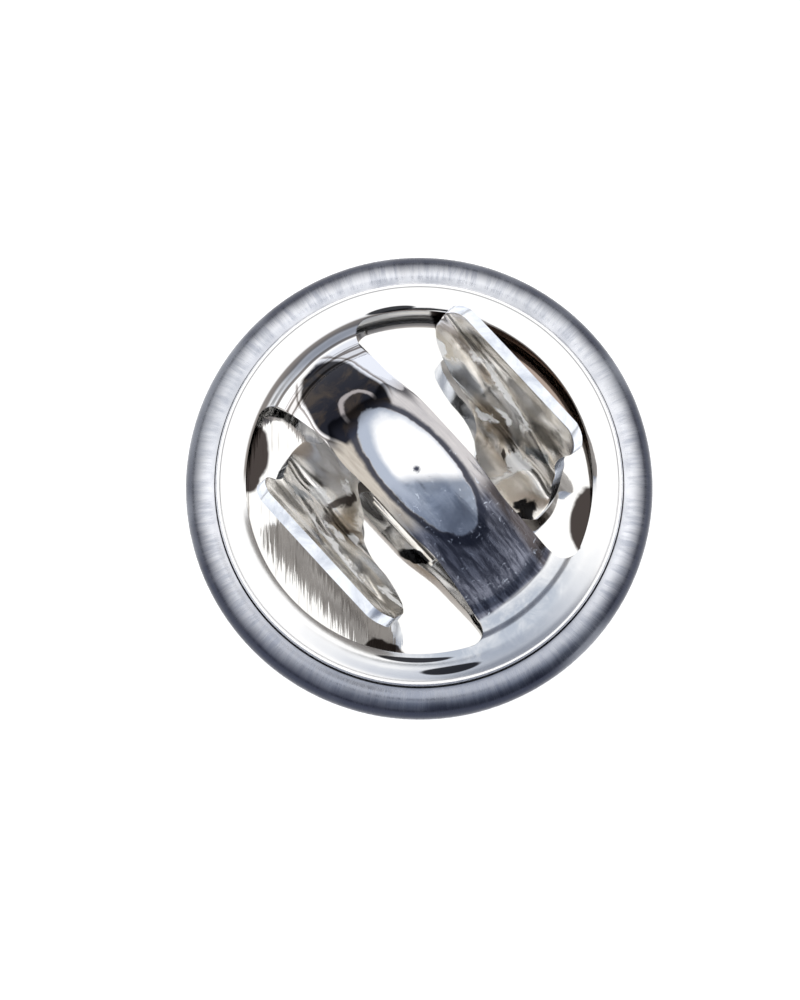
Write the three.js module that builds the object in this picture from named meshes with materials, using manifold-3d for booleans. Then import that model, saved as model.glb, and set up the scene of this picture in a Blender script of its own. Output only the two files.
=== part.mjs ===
// Tie tack with a butterfly clutch. Millimetres, +Z along the post, the head's face on z = 0.
// +X runs along the clutch's bridge; the two wings stand on its +Y and -Y sides.
// Every stamped piece is a sheet: a centreline of its section, thickened, then spun or extruded and trimmed.
import * as THREE from "three";
import { mergeVertices } from "three/addons/utils/BufferGeometryUtils.js";
import Module from "manifold-3d";

const wasm = await Module();
wasm.setup();

// Tack
const headRadius = 4.5;
const headThickness = 1.3;
const headEdgeRadius = 0.4;
const seatMargin = 0.2; // flat ring of the head's back, from the pad out
const padRadius = 2.5;
const padThickness = 0.45;
const padChamfer = 0.12;
const postRadius = 0.52;
const postLength = 8; // from the pad's top to the point
const pointLength = 1.1;
const pointTipRadius = 0.06;
const footRadius = 0.95;
const footThickness = 0.2;
const gripGrooveDepth = 0.05;
const gripGrooveWidth = 0.6;

// Clutch, with heights counted from its underside
const clutchRadius = 5.75;
const baseSheet = 0.3;
const capSheet = 0.3;
const springSheet = 0.28;
const rimLip = 0.2; // how far the rolled edge reaches in past its bend
const ringHeight = 1.5;
const ringBend = 0.4; // centreline radius of the ring's shoulder
const ringWidth = 0.75; // from the rolled edge's lip to the windows
const ringDish = 0.02; // how far the ring's inner edge lies below its crest
const flangeBend = 0.2; // centreline radius of the bend from the cap's wall to its flange
const flangeReach = 0.1; // of the flange past the middle of the rolled edge
const bridgeHeight = 3.7;
const bridgeWaist = 2.1; // width in the middle
const bridgeEnd = 2.5; // width where it meets the ring
const bridgeCrown = 0.42; // how far its long edges lie below its middle
const bridgeLedge = 0.9; // flat stretch from the window's end to the foot of the climb
const bridgeStep = 0.04; // how far that stretch lies below the ring's crest
const bridgeFootBend = 0.5; // run of the bend at the foot of the climb
const bridgeFootRise = 0.2; // share of the climb that this bend takes
const bridgeShoulder = 0.63; // share of the half span that the arch takes to come level
const windowCorner = 0.4;

// Spring: a floor plate, folded at both sides into arms that cross to the far windows
const plateReach = 1.6; // how far the plate and its folds reach along X
const foldInside = 0.08; // inner radius of the fold
const foldSetback = 0.15; // from the jaw's seat to the fold's axis
const jawDepth = 0.3; // how much of the jaw's half-round seat is cut away at its sides
const plateSide = 1; // how far the plate's trim runs out past its folds
const armSlope = THREE.MathUtils.degToRad(15);
const neckStart = 1.35; // y where the arm starts to turn up into its wing
const neckTurn = 0.95; // how far in y the turn-up reaches
const neckRise = 0.8; // how far up it reaches
const neckShoulder = 0.35; // how far the arm's outer edge stands in before its neck
const neckRoot = 1; // x of the arm's inner edge where the neck begins
const wingHeight = 4.65;
const wingTopOffset = 3.2; // y of the wing's top edge
const wingFlare = 0.42; // how far the top edge leans out past the wing's flat part
const wingFlareHeight = 1.05; // how far below the top edge the lean starts
const wingTip = 2.35; // reach of the wing away from its neck
const wingTipHeight = 1.75; // from the wing's top edge down to the tip's lower end
const wingTipSweep = 0.3; // how far that lower end lies in from the tip
const wingHeel = 2.2; // reach of the wing above its neck
const wingCorner = 0.8; // of the wing's round top corners
const leafRoot = 0.15; // x where the wing's lower edge leaves the neck

// Clearances
const jointLine = 0.02; // between pieces that are soldered or pressed together
const flangeClearance = 0.05; // around the cap's flange inside the rolled edge
const jawClearance = 0.03; // each jaw's seat around the post
const holeClearance = 0.23; // the base's and the plate's holes around the post
const foldClearance = THREE.MathUtils.degToRad(26); // open angle in the fold, for the arm's swing
const armClearance = 0.11; // between an arm and the other arm's jaw
const neckClearance = 0.75; // from the neck's outer side to the window's round side
const tipClearance = 0.15; // post's point to the bridge when the clutch is pushed home
const overlap = 0.12; // of the bridge's ends into the ring they are one sheet with
const margin = 0.5; // of stock and cutters past what they trim

// Places that follow from them
const padBottom = headThickness + jointLine;
const padTop = padBottom + padThickness;
const postTip = padTop + postLength;
const clutchBottom = postTip + tipClearance + capSheet - bridgeHeight;
const rimHeight = 2 * baseSheet + capSheet + 2 * flangeClearance;
const rollRadius = (rimHeight - baseSheet) / 2;
const rollCentre = clutchRadius - rollRadius - baseSheet / 2;
const lipRadius = rollCentre - rimLip;
const windowRadius = lipRadius - flangeClearance - ringWidth;
const bridgeFoot = windowRadius - bridgeLedge;
const holeRadius = postRadius + holeClearance;
const jawRadius = postRadius + jawClearance;
const foldOffset = jawRadius + foldSetback;
const foldBend = foldInside + springSheet / 2;
const plateLevel = baseSheet + jointLine + springSheet / 2;
const foldLevel = plateLevel + foldBend;
const armLevel = foldLevel + foldBend;
const neckLevel = armLevel + (neckStart + foldOffset) * Math.tan(armSlope);
const neckReach = Math.sqrt(windowRadius ** 2 - (neckStart + neckTurn) ** 2) - neckClearance;
const turn = Math.PI * 2;

// ---------------------------------------------------------------- solids

// Geometry to solid, with its shared vertices merged.
function solidFrom(geometry) {
  const bare = geometry.clone();
  bare.deleteAttribute("normal");
  bare.deleteAttribute("uv");
  const merged = mergeVertices(bare, 1e-4);
  return new wasm.Manifold(
    new wasm.Mesh({
      numProp: 3,
      vertProperties: merged.attributes.position.array,
      triVerts: new Uint32Array(merged.index.array),
    }),
  );
}

function geometryFrom(solid) {
  const mesh = solid.getMesh();
  const geometry = new THREE.BufferGeometry();
  geometry.setAttribute("position", new THREE.BufferAttribute(mesh.vertProperties, 3));
  geometry.setIndex(new THREE.BufferAttribute(mesh.triVerts, 1));
  const flat = geometry.toNonIndexed();
  flat.computeVertexNormals();
  return flat;
}

// Outline of a sheet's section: its centreline moved half a thickness to each side.
function sheetOutline(centreline, thickness) {
  const sides = [[], []];
  centreline.forEach((point, i) => {
    const before = centreline[Math.max(i - 1, 0)];
    const after = centreline[Math.min(i + 1, centreline.length - 1)];
    const along = new THREE.Vector2().subVectors(after, before).normalize();
    const across = new THREE.Vector2(-along.y, along.x);
    sides[0].push(point.clone().addScaledVector(across, thickness / 2));
    sides[1].push(point.clone().addScaledVector(across, -thickness / 2));
  });
  return [...sides[0], ...sides[1].reverse()];
}

// A path's points, with corners and ends kept and near doubles dropped.
function pointsOf(path, divisions) {
  const points = path.getPoints(divisions);
  return points.filter((p, i) => i === 0 || p.distanceTo(points[i - 1]) > 0.01);
}

// Spins a closed outline of (radius, height) points about Z.
function spin(outline, segments) {
  const ring = THREE.ShapeUtils.isClockWise(outline) ? outline.slice().reverse() : outline.slice();
  ring.push(ring[0].clone());
  const geometry = new THREE.LatheGeometry(ring, segments);
  geometry.rotateX(Math.PI / 2);
  return solidFrom(geometry);
}

// Extrudes an (x, z) outline along Y, from -reach to reach.
function extrudeAlongY(outline, reach, steps = 1) {
  const geometry = new THREE.ExtrudeGeometry(new THREE.Shape(outline), {
    depth: 2 * reach,
    steps,
    bevelEnabled: false,
  });
  geometry.rotateX(Math.PI / 2);
  geometry.translate(0, reach, 0);
  return geometry;
}

// Extrudes a (y, z) outline along X, from -reach to reach.
function extrudeAlongX(outline, reach) {
  const geometry = new THREE.ExtrudeGeometry(new THREE.Shape(outline), {
    depth: 2 * reach,
    bevelEnabled: false,
  });
  geometry.translate(0, 0, -reach);
  geometry.rotateX(Math.PI / 2);
  geometry.rotateZ(Math.PI / 2);
  return geometry;
}

// Extrudes a plan shape up Z over the clutch's whole height.
function planCutter(shape) {
  const geometry = new THREE.ExtrudeGeometry(shape, {
    depth: wingHeight + 2 * margin,
    curveSegments: 16,
    bevelEnabled: false,
  });
  geometry.translate(0, 0, -margin);
  return solidFrom(geometry);
}

// ---------------------------------------------------------------- tack

function tackHead() {
  const backEdgeRadius = headEdgeRadius / 2;
  const outline = new THREE.Path();
  outline.moveTo(0, 0);
  outline.lineTo(headRadius - headEdgeRadius, 0);
  outline.absarc(headRadius - headEdgeRadius, headEdgeRadius, headEdgeRadius, -Math.PI / 2, 0);
  outline.absarc(
    headRadius - backEdgeRadius,
    headThickness - backEdgeRadius,
    backEdgeRadius,
    0,
    Math.PI / 2,
  );
  outline.lineTo(padRadius + seatMargin, headThickness);
  outline.lineTo(0, headThickness);
  return spin(pointsOf(outline, 2), 48);
}

function postPad() {
  const bore = postRadius + jointLine;
  const recess = footRadius + jointLine;
  const recessTop = padBottom + footThickness + jointLine;
  return spin(
    [
      [recess, padBottom],
      [padRadius, padBottom],
      [padRadius, padTop - padChamfer],
      [padRadius - padChamfer, padTop],
      [bore, padTop],
      [bore, recessTop],
      [recess, recessTop],
    ].map(([r, z]) => new THREE.Vector2(r, z)),
    32,
  );
}

function tackPost() {
  const grooveMiddle = clutchBottom + armLevel;
  const grooveRadius = postRadius - gripGrooveDepth;
  const half = gripGrooveWidth / 2;
  return spin(
    [
      [0, padBottom],
      [footRadius, padBottom],
      [footRadius, padBottom + footThickness],
      [postRadius, padBottom + footThickness],
      [postRadius, grooveMiddle - half],
      [grooveRadius, grooveMiddle - half + gripGrooveDepth],
      [grooveRadius, grooveMiddle + half - gripGrooveDepth],
      [postRadius, grooveMiddle + half],
      [postRadius, postTip - pointLength],
      [pointTipRadius, postTip],
      [0, postTip],
    ].map(([r, z]) => new THREE.Vector2(r, z)),
    32,
  );
}

// ---------------------------------------------------------------- clutch shell

function clutchBase() {
  const line = new THREE.Path();
  line.moveTo(holeRadius, baseSheet / 2);
  line.lineTo(rollCentre, baseSheet / 2);
  line.absarc(rollCentre, rimHeight / 2, rollRadius, -Math.PI / 2, Math.PI / 2);
  line.lineTo(lipRadius, rimHeight - baseSheet / 2);
  return spin(sheetOutline(pointsOf(line, 4), baseSheet), 64);
}

// A window: the ring's inner circle, cut off by the bridge's waisted edge, with round corners.
function windowOutline(side) {
  const cornerY = bridgeEnd / 2 + windowCorner;
  const cornerX = Math.sqrt((windowRadius - windowCorner) ** 2 - cornerY ** 2);
  const angle = Math.atan2(cornerY, cornerX);
  const outline = new THREE.Path();
  outline.absarc(cornerX, cornerY, windowCorner, -Math.PI / 2, angle);
  outline.absarc(0, 0, windowRadius, angle, Math.PI - angle);
  outline.absarc(-cornerX, cornerY, windowCorner, Math.PI - angle, Math.PI * 1.5);
  outline.quadraticCurveTo(0, bridgeWaist - bridgeEnd / 2, cornerX, bridgeEnd / 2);
  const points = pointsOf(outline, 8);
  return new THREE.Path(points.map((p) => p.clone().multiplyScalar(side)));
}

// The bridge's section in (x, z): ledge, climb, arch over the post's point, and the same mirrored.
function bridgeCentreline() {
  const crest = bridgeHeight - capSheet / 2;
  const ledge = ringHeight - capSheet / 2 - bridgeStep;
  const footRise = bridgeFootRise * (crest - ledge);
  const bendCorner = bridgeFoot + 0.3 * bridgeFootBend;
  const steep = footRise / (bendCorner - bridgeFoot);
  const steepRun = 2.2 * footRise / steep;
  const half = new THREE.Path();
  half.moveTo(windowRadius + overlap, ledge);
  half.lineTo(bridgeFoot + bridgeFootBend, ledge);
  half.quadraticCurveTo(bendCorner, ledge, bridgeFoot, ledge + footRise);
  half.bezierCurveTo(
    bridgeFoot - steepRun,
    ledge + footRise + steepRun * steep,
    bridgeFoot * bridgeShoulder,
    crest,
    0,
    crest,
  );
  const right = pointsOf(half, 6);
  const left = right.slice(0, -1).map((p) => new THREE.Vector2(-p.x, p.y));
  return [...right, ...left.reverse()];
}

// How far the bridge's surface lies below its middle line.
function crownDrop(x, y) {
  const along = 1 - Math.min(Math.abs(x) / (bridgeFoot + bridgeFootBend / 2), 1) ** 4;
  const across = Math.min(Math.abs(y) / (bridgeWaist / 2), 1);
  return bridgeCrown * along * 0.5 * (1 - Math.cos(Math.PI * across));
}

function clutchCap() {
  const outside = lipRadius - flangeClearance;
  const wall = outside - capSheet / 2;
  const crest = ringHeight - capSheet / 2;
  const flange = rimHeight / 2;
  const line = new THREE.Path();
  line.moveTo(rollCentre + flangeReach, flange);
  line.lineTo(wall + flangeBend, flange);
  line.absarc(wall + flangeBend, flange + flangeBend, flangeBend, -Math.PI / 2, -Math.PI, true);
  line.absarc(wall - ringBend, crest - ringBend, ringBend, 0, Math.PI / 2);
  line.lineTo(windowRadius, crest - ringDish);
  const ring = spin(sheetOutline(pointsOf(line, 3), capSheet), 64);

  const wide = bridgeEnd / 2 + windowCorner + overlap;
  const strap = extrudeAlongY(sheetOutline(bridgeCentreline(), capSheet), wide, 12);
  const position = strap.attributes.position;
  for (let i = 0; i < position.count; i += 1) {
    const drop = crownDrop(position.getX(i), position.getY(i));
    position.setZ(i, position.getZ(i) - drop);
  }
  const mask = new THREE.Shape().absarc(0, 0, windowRadius + overlap, 0, turn);
  mask.holes.push(windowOutline(1), windowOutline(-1));
  return ring.add(solidFrom(strap).intersect(planCutter(mask)));
}

// ---------------------------------------------------------------- spring

function springPlate() {
  const openEnd = Math.PI + foldClearance / 4;
  const line = new THREE.Path();
  line.absarc(-foldOffset, foldLevel, foldBend, openEnd, Math.PI * 1.5);
  line.absarc(foldOffset, foldLevel, foldBend, -Math.PI / 2, Math.PI - openEnd);
  const section = extrudeAlongX(sheetOutline(pointsOf(line, 4), springSheet), plateReach);
  const edge = foldOffset + plateSide;
  const plan = new THREE.Shape(
    [
      [plateReach, -edge],
      [plateReach, foldOffset],
      [jawRadius, foldOffset],
      [jawRadius, edge],
      [-plateReach, edge],
      [-plateReach, -foldOffset],
      [-jawRadius, -foldOffset],
      [-jawRadius, -edge],
    ].map(([x, y]) => new THREE.Vector2(x, y)),
  );
  plan.holes.push(new THREE.Path().absarc(0, 0, holeRadius, 0, turn));
  return solidFrom(section).intersect(planCutter(plan));
}

// An arm's section in (y, z): fold, slope under the bridge, turn-up into the wing, flared top.
function armCentreline() {
  const turned = neckLevel + neckRise;
  const flareStart = wingHeight - wingFlareHeight;
  const line = new THREE.Path();
  line.absarc(-foldOffset, foldLevel, foldBend, Math.PI - foldClearance * 0.75, Math.PI / 2, true);
  line.lineTo(neckStart, neckLevel);
  line.quadraticCurveTo(
    neckStart + 0.8 * neckTurn,
    neckLevel + neckRise / 4,
    neckStart + neckTurn,
    turned,
  );
  line.lineTo(wingTopOffset - wingFlare, flareStart);
  line.quadraticCurveTo(
    wingTopOffset - 0.8 * wingFlare,
    flareStart + 0.43 * wingFlareHeight,
    wingTopOffset,
    wingHeight - springSheet / 4,
  );
  return pointsOf(line, 5);
}

// The arm's trim seen from above: jaw, strip beside the post, neck. The wing is trimmed from the front.
function armPlan() {
  const jawEnd = jawRadius - jawDepth;
  const jawAngle = Math.asin(jawEnd / jawRadius);
  const stripEdge = jawRadius + armClearance;
  const outerEdge = neckReach - neckShoulder;
  const behind = -foldOffset - margin;
  const ahead = wingTopOffset + margin;
  const leafStart = neckStart + neckTurn / 2;
  const shape = new THREE.Shape();
  shape.moveTo(-jawRadius, behind);
  shape.lineTo(plateReach, behind);
  shape.lineTo(plateReach, -jawEnd);
  shape.quadraticCurveTo(plateReach, jawRadius, outerEdge, neckStart - 2 * jawDepth);
  shape.lineTo(outerEdge, neckStart - jawDepth);
  shape.lineTo(neckReach, neckStart + armClearance);
  shape.lineTo(neckReach, ahead);
  shape.lineTo(-wingTip - margin, ahead);
  shape.lineTo(-wingTip - margin, leafStart);
  shape.lineTo(leafRoot, leafStart);
  shape.quadraticCurveTo(neckRoot / 2, neckStart, neckRoot, neckStart - armClearance);
  shape.quadraticCurveTo(stripEdge, neckStart - jawDepth, stripEdge, jawRadius);
  shape.lineTo(stripEdge, -jawEnd);
  shape.absarc(0, 0, jawRadius, -jawAngle, -Math.PI + jawAngle, true);
  shape.lineTo(-jawRadius, -jawEnd);
  return shape;
}

// The wing's outline seen along Y: a leaf that grows from its neck towards the far end.
function wingFront() {
  const top = wingHeight + overlap;
  const shoulder = wingHeight - springSheet / 4;
  const keep = jawRadius + overlap;
  const tipLow = wingHeight - wingTipHeight;
  const tipEnd = wingTipSweep - wingTip;
  const heelTurn = neckLevel + 1.4 * neckRise;
  const shape = new THREE.Path();
  shape.moveTo(-keep, 0);
  shape.lineTo(-keep, neckLevel);
  shape.lineTo(leafRoot, neckLevel);
  shape.quadraticCurveTo(tipEnd / 2, neckLevel + wingTipSweep, tipEnd, tipLow);
  shape.quadraticCurveTo(-wingTip, tipLow + wingTipSweep, -wingTip, wingHeight - wingCorner);
  shape.quadraticCurveTo(-wingTip, shoulder, wingCorner - wingTip, top);
  shape.lineTo(wingHeel - wingCorner, top);
  shape.quadraticCurveTo(wingHeel, shoulder, wingHeel, wingHeight - wingCorner);
  shape.lineTo(wingHeel + wingTipSweep, heelTurn);
  shape.quadraticCurveTo(wingHeel + wingTipSweep, neckLevel + neckRise / 2, neckReach, neckLevel);
  shape.lineTo(neckReach, 0);
  return pointsOf(shape, 5);
}

function wingArm() {
  const widest = Math.max(neckReach, wingHeel, wingTip) + margin;
  const sheet = solidFrom(extrudeAlongX(sheetOutline(armCentreline(), springSheet), widest));
  const front = solidFrom(extrudeAlongY(wingFront(), wingTopOffset + margin));
  return sheet.intersect(front).intersect(planCutter(armPlan()));
}

// ---------------------------------------------------------------- assembly

const polished = { metalness: 1, roughness: 0.15 };
const looks = {
  head: new THREE.MeshStandardMaterial({ color: 0xd4d5d8, metalness: 1, roughness: 0.12 }),
  post: new THREE.MeshStandardMaterial({ color: 0xc2c3c6, metalness: 1, roughness: 0.25 }),
  base: new THREE.MeshStandardMaterial({ color: 0xb9bec6, metalness: 1, roughness: 0.35 }),
  cap: new THREE.MeshStandardMaterial({ color: 0xdadde2, ...polished }),
  spring: new THREE.MeshStandardMaterial({ color: 0xc9c4bb, ...polished }),
};

function piece(name, solid, material) {
  const mesh = new THREE.Mesh(geometryFrom(solid), material.clone());
  mesh.name = name;
  return mesh;
}

const tack = new THREE.Group();
tack.add(piece("tack_head", tackHead(), looks.head));
tack.add(piece("post_pad", postPad(), looks.post));
tack.add(piece("tack_post", tackPost(), looks.post));

const clutch = new THREE.Group();
clutch.position.z = clutchBottom;
clutch.add(piece("clutch_base", clutchBase(), looks.base));
clutch.add(piece("clutch_cap", clutchCap(), looks.cap));
clutch.add(piece("spring_plate", springPlate(), looks.spring));
clutch.add(piece("wing_arm_plus_y", wingArm(), looks.spring));
const turnedArm = piece("wing_arm_minus_y", wingArm(), looks.spring);
turnedArm.rotation.z = Math.PI;
clutch.add(turnedArm);

const tieTack = new THREE.Group();
tieTack.add(tack, clutch);

export default tieTack;
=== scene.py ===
# Tie tack with a butterfly clutch, seen from almost straight above the clutch.
# Shapes are worked out in millimetres, in the clutch's or the tack's own heights, and placed by
# the CAD boxes.
import math

import bmesh
import bpy
from mathutils import Matrix, Vector


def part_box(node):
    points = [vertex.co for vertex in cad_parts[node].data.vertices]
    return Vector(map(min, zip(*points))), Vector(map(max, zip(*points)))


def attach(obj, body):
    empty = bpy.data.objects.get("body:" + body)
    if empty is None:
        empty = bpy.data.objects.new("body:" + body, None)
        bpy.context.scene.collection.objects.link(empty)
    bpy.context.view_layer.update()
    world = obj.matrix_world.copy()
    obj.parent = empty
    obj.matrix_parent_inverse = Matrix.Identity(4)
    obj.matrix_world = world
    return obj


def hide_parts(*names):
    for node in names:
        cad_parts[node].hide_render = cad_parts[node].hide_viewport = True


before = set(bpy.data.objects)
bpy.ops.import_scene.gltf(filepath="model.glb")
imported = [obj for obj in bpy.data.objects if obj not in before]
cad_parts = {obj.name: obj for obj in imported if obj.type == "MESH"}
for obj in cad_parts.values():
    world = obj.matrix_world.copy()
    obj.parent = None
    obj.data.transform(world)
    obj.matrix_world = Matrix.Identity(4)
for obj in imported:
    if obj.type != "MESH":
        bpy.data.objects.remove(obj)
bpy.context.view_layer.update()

MM = 0.001


def top(node):
    """Height of a CAD node's highest point, in mm."""
    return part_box(node)[1].z / MM


def bottom(node):
    """Height of a CAD node's lowest point, in mm."""
    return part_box(node)[0].z / MM


CLUTCH_Z = bottom("clutch_base")
CLUTCH_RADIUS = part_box("clutch_base")[1].x / MM

# Sheets and clearances, mm
BASE_SHEET = 0.3
CAP_SHEET = 0.3
SPRING_SHEET = 0.28
FLANGE_GAP = 0.05
PLATE_GAP = 0.02
CUT_EDGE = 0.05  # rounding of a cut edge

# Clutch shell, mm, heights from the clutch's underside
RIM_HEIGHT = 1.0
ROLL_RADIUS = 0.35
ROLL_CENTRE = CLUTCH_RADIUS - ROLL_RADIUS - BASE_SHEET / 2
LIP_RADIUS = ROLL_CENTRE - 0.2
LIP_DROP = 0.03  # the lip dips a little from the roll's top
HOLE_RADIUS = 0.75
WINDOW_RADIUS = 4.25
WINDOW_CORNER = 0.4
BRIDGE_ANGLE = math.radians(25)  # half the turn that each foot of the bridge takes of the ring
BRIDGE_WAIST = 2.1
RING_TOP = 1.5
BRIDGE_TOP = top("clutch_cap") - CLUTCH_Z


# ---- outlines

def arc(centre, radius, start, end, steps):
    """Points of an arc, angles in degrees."""
    points = []
    for i in range(steps + 1):
        a = math.radians(start + (end - start) * i / steps)
        points.append((centre[0] + radius * math.cos(a), centre[1] + radius * math.sin(a)))
    return points


def bezier(p0, p1, p2, p3, steps):
    """Points of a cubic curve, without its first."""
    points = []
    for i in range(1, steps + 1):
        t = i / steps
        k = ((1 - t) ** 3, 3 * t * (1 - t) ** 2, 3 * t * t * (1 - t), t ** 3)
        points.append(tuple(sum(w * p[n] for w, p in zip(k, (p0, p1, p2, p3))) for n in (0, 1)))
    return points


def spread(points, step):
    """The same line with points at most a step apart, evenly spread over each stretch."""
    out = [points[0]]
    for a, b in zip(points, points[1:]):
        length = math.dist(a, b)
        if length < 1e-6:
            continue
        n = max(1, math.ceil(length / step))
        for i in range(1, n + 1):
            out.append(tuple(a[k] + (b[k] - a[k]) * i / n for k in (0, 1)))
    return out


def round_corners(points, radius, steps=5, sharp=25):
    """A closed outline with each corner over so many degrees turned into an arc."""
    out = []
    n = len(points)
    longest = 0.45  # an arc takes no more than this share of a side
    for i in range(n):
        p = Vector(points[i])
        a = Vector(points[i - 1]) - p
        b = Vector(points[(i + 1) % n]) - p
        bend = math.degrees(math.pi - a.angle(b))
        if bend < sharp:
            out.append(tuple(p))
            continue
        cut = radius * math.tan(math.radians(bend / 2))
        reach = min(cut, a.length * longest, b.length * longest)
        start = p + a.normalized() * reach
        end = p + b.normalized() * reach
        for k in range(steps + 1):
            t = k / steps
            out.append(tuple(start * (1 - t) ** 2 + p * 2 * t * (1 - t) + end * t * t))
    return out


def sheet_outline(line, thickness):
    """Closed outline of a sheet's section around its centreline."""
    left, right = [], []
    for i, p in enumerate(line):
        a = line[max(i - 1, 0)]
        b = line[min(i + 1, len(line) - 1)]
        d = math.dist(a, b)
        nx, nz = -(b[1] - a[1]) / d, (b[0] - a[0]) / d
        left.append((p[0] + nx * thickness / 2, p[1] + nz * thickness / 2))
        right.append((p[0] - nx * thickness / 2, p[1] - nz * thickness / 2))
    return left + right[::-1]


# ---- meshes

def make_object(name, verts, faces, lift):
    """A smooth mesh object from points in mm, lifted to its height."""
    mesh = bpy.data.meshes.new(name)
    mesh.from_pydata([(x * MM, y * MM, (z + lift) * MM) for x, y, z in verts], [], faces)
    mesh.validate()
    mesh.polygons.foreach_set("use_smooth", [True] * len(mesh.polygons))
    obj = bpy.data.objects.new(name, mesh)
    bpy.context.scene.collection.objects.link(obj)
    return obj


def face_out(obj):
    """Turns all faces outward."""
    bm = bmesh.new()
    bm.from_mesh(obj.data)
    bmesh.ops.recalc_face_normals(bm, faces=bm.faces)
    bm.to_mesh(obj.data)
    bm.free()


def lathe(name, outline, lift, segments=192):
    """Spins an outline about Z. Points on the axis become poles, any other outline closes on itself."""
    verts, faces, rows = [], [], []
    for r, z in outline:
        if r < 1e-6:
            rows.append([len(verts)] * segments)
            verts.append((0, 0, z))
            continue
        rows.append([len(verts) + i for i in range(segments)])
        for i in range(segments):
            a = 2 * math.pi * i / segments
            verts.append((r * math.cos(a), r * math.sin(a), z))
    on_axis = outline[0][0] < 1e-6
    pairs = list(zip(rows, rows[1:])) + ([] if on_axis else [(rows[-1], rows[0])])
    for low, high in pairs:
        for i in range(segments):
            j = (i + 1) % segments
            face = []
            for v in (low[i], low[j], high[j], high[i]):
                if v not in face:
                    face.append(v)
            if len(face) > 2:
                faces.append(face)
    obj = make_object(name, verts, faces, lift)
    face_out(obj)
    return obj


def thicken(obj, thickness, side, edge, own_back=False):
    """Gives a surface its sheet thickness and rounds its cut edges.

    The side tells where the sheet lies: 0 on both sides of the surface, -1 below it. With a back of
    its own, the second and third material go to the back and to the cut edge.
    """
    solid = obj.modifiers.new("Sheet", "SOLIDIFY")
    solid.thickness = thickness * MM
    solid.offset = side
    if own_back:
        solid.material_offset = 1
        solid.material_offset_rim = 2
    bevel = obj.modifiers.new("Edge", "BEVEL")
    bevel.width = edge * MM
    bevel.segments = 3
    bevel.limit_method = "ANGLE"
    bevel.angle_limit = math.radians(50)
    bevel.harden_normals = False


# ---- height of the cap's surface

def mix(a, b, t):
    """From a to b as t goes from 0 to 1."""
    return a + (b - a) * t


def smooth_step(t):
    """0 to 1, with a soft start and end."""
    t = min(max(t, 0.0), 1.0)
    return t * t * (3 - 2 * t)


def smooth_max(a, b, k):
    """The higher of two heights, rounded over k where they meet."""
    h = max(k - abs(a - b), 0.0) / k
    return max(a, b) + h * h * k / 4


# Ring, mm
RING_EDGE = RING_TOP - 0.02  # height of the windows' rounded edge
LEDGE = RING_TOP - 0.15  # where the bridge starts
LEDGE_START = WINDOW_RADIUS + 0.02
LEDGE_WIDTH = 0.34
SEAM_ROUNDING = 0.12  # where bridge and ring run into each other

# Arch of the bridge, mm
BRIDGE_FOOT = 3.67  # distance of each foot from the arch's top
BRIDGE_SHIFT = -0.13  # the arch's top along X, from the clutch's middle
ARCH_FALL = 2.2  # how steeply the arch falls away: a parabola is 2
FOOT_BOW = 0.18  # how much earlier the strap's edges come down
FOOT_BOW_AT = 1.05  # distance of those edges from its middle
EDGE_DROP = 0.10  # how far the strap's edges are rolled down
EDGE_DROP_START = 0.85  # where the roll starts across the strap
EDGE_DROP_WIDTH = 0.4
EDGE_DROP_LENGTH = 3.3  # how far it goes along the bridge, each way

# Crown pressed up along the bridge's middle, mm
CROWN = 0.19
CROWN_HALF_WIDTH = 0.86
CROWN_HALF_LENGTH = 2.9
CROWN_SIDE = 0.75  # share of its half width that each side's rise takes
CROWN_END = 2.3  # length of its slow rise at each end
STRAP_TOP = BRIDGE_TOP - CROWN


def ring_height(r):
    """Step from the ring's inner edge down to the ledge at the bridge's ends."""
    return mix(RING_EDGE, LEDGE, smooth_step((LEDGE_START - r) / LEDGE_WIDTH))


def bridge_height(x, y):
    """The bridge: arch with bowed feet and rolled edges, and the crown along its middle."""
    reach = abs(x - BRIDGE_SHIFT) + FOOT_BOW * (y / FOOT_BOW_AT) ** 2
    fall = (STRAP_TOP - LEDGE) * (reach / BRIDGE_FOOT) ** ARCH_FALL
    near_middle = 1 - min(abs(x) / EDGE_DROP_LENGTH, 1.0) ** 3
    fall += EDGE_DROP * near_middle * smooth_step((abs(y) - EDGE_DROP_START) / EDGE_DROP_WIDTH)
    across = smooth_step((1 - abs(y) / CROWN_HALF_WIDTH) / CROWN_SIDE)
    along = smooth_step((CROWN_HALF_LENGTH - abs(x)) / CROWN_END)
    return STRAP_TOP - fall + CROWN * across * along


def cap_height(x, y):
    """Height of the cap's upper face inside the ring."""
    return smooth_max(ring_height(math.hypot(x, y)), bridge_height(x, y), SEAM_ROUNDING)


# ---- pieces of the clutch

def make_base():
    """Cup with a hole in its floor, and its edge rolled over into the rim."""
    line = spread([(HOLE_RADIUS, BASE_SHEET / 2), (ROLL_CENTRE, BASE_SHEET / 2)], step=0.15)
    line += arc((ROLL_CENTRE, RIM_HEIGHT / 2), ROLL_RADIUS, -90, 90, steps=28)[1:]
    lip = (LIP_RADIUS, RIM_HEIGHT - BASE_SHEET / 2 - LIP_DROP)
    line += spread([line[-1], lip], step=0.05)[1:]
    outline = round_corners(sheet_outline(line, BASE_SHEET), 2 * CUT_EDGE, steps=8)
    return lathe("clutch_base_fine", outline, CLUTCH_Z, segments=288)


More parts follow.
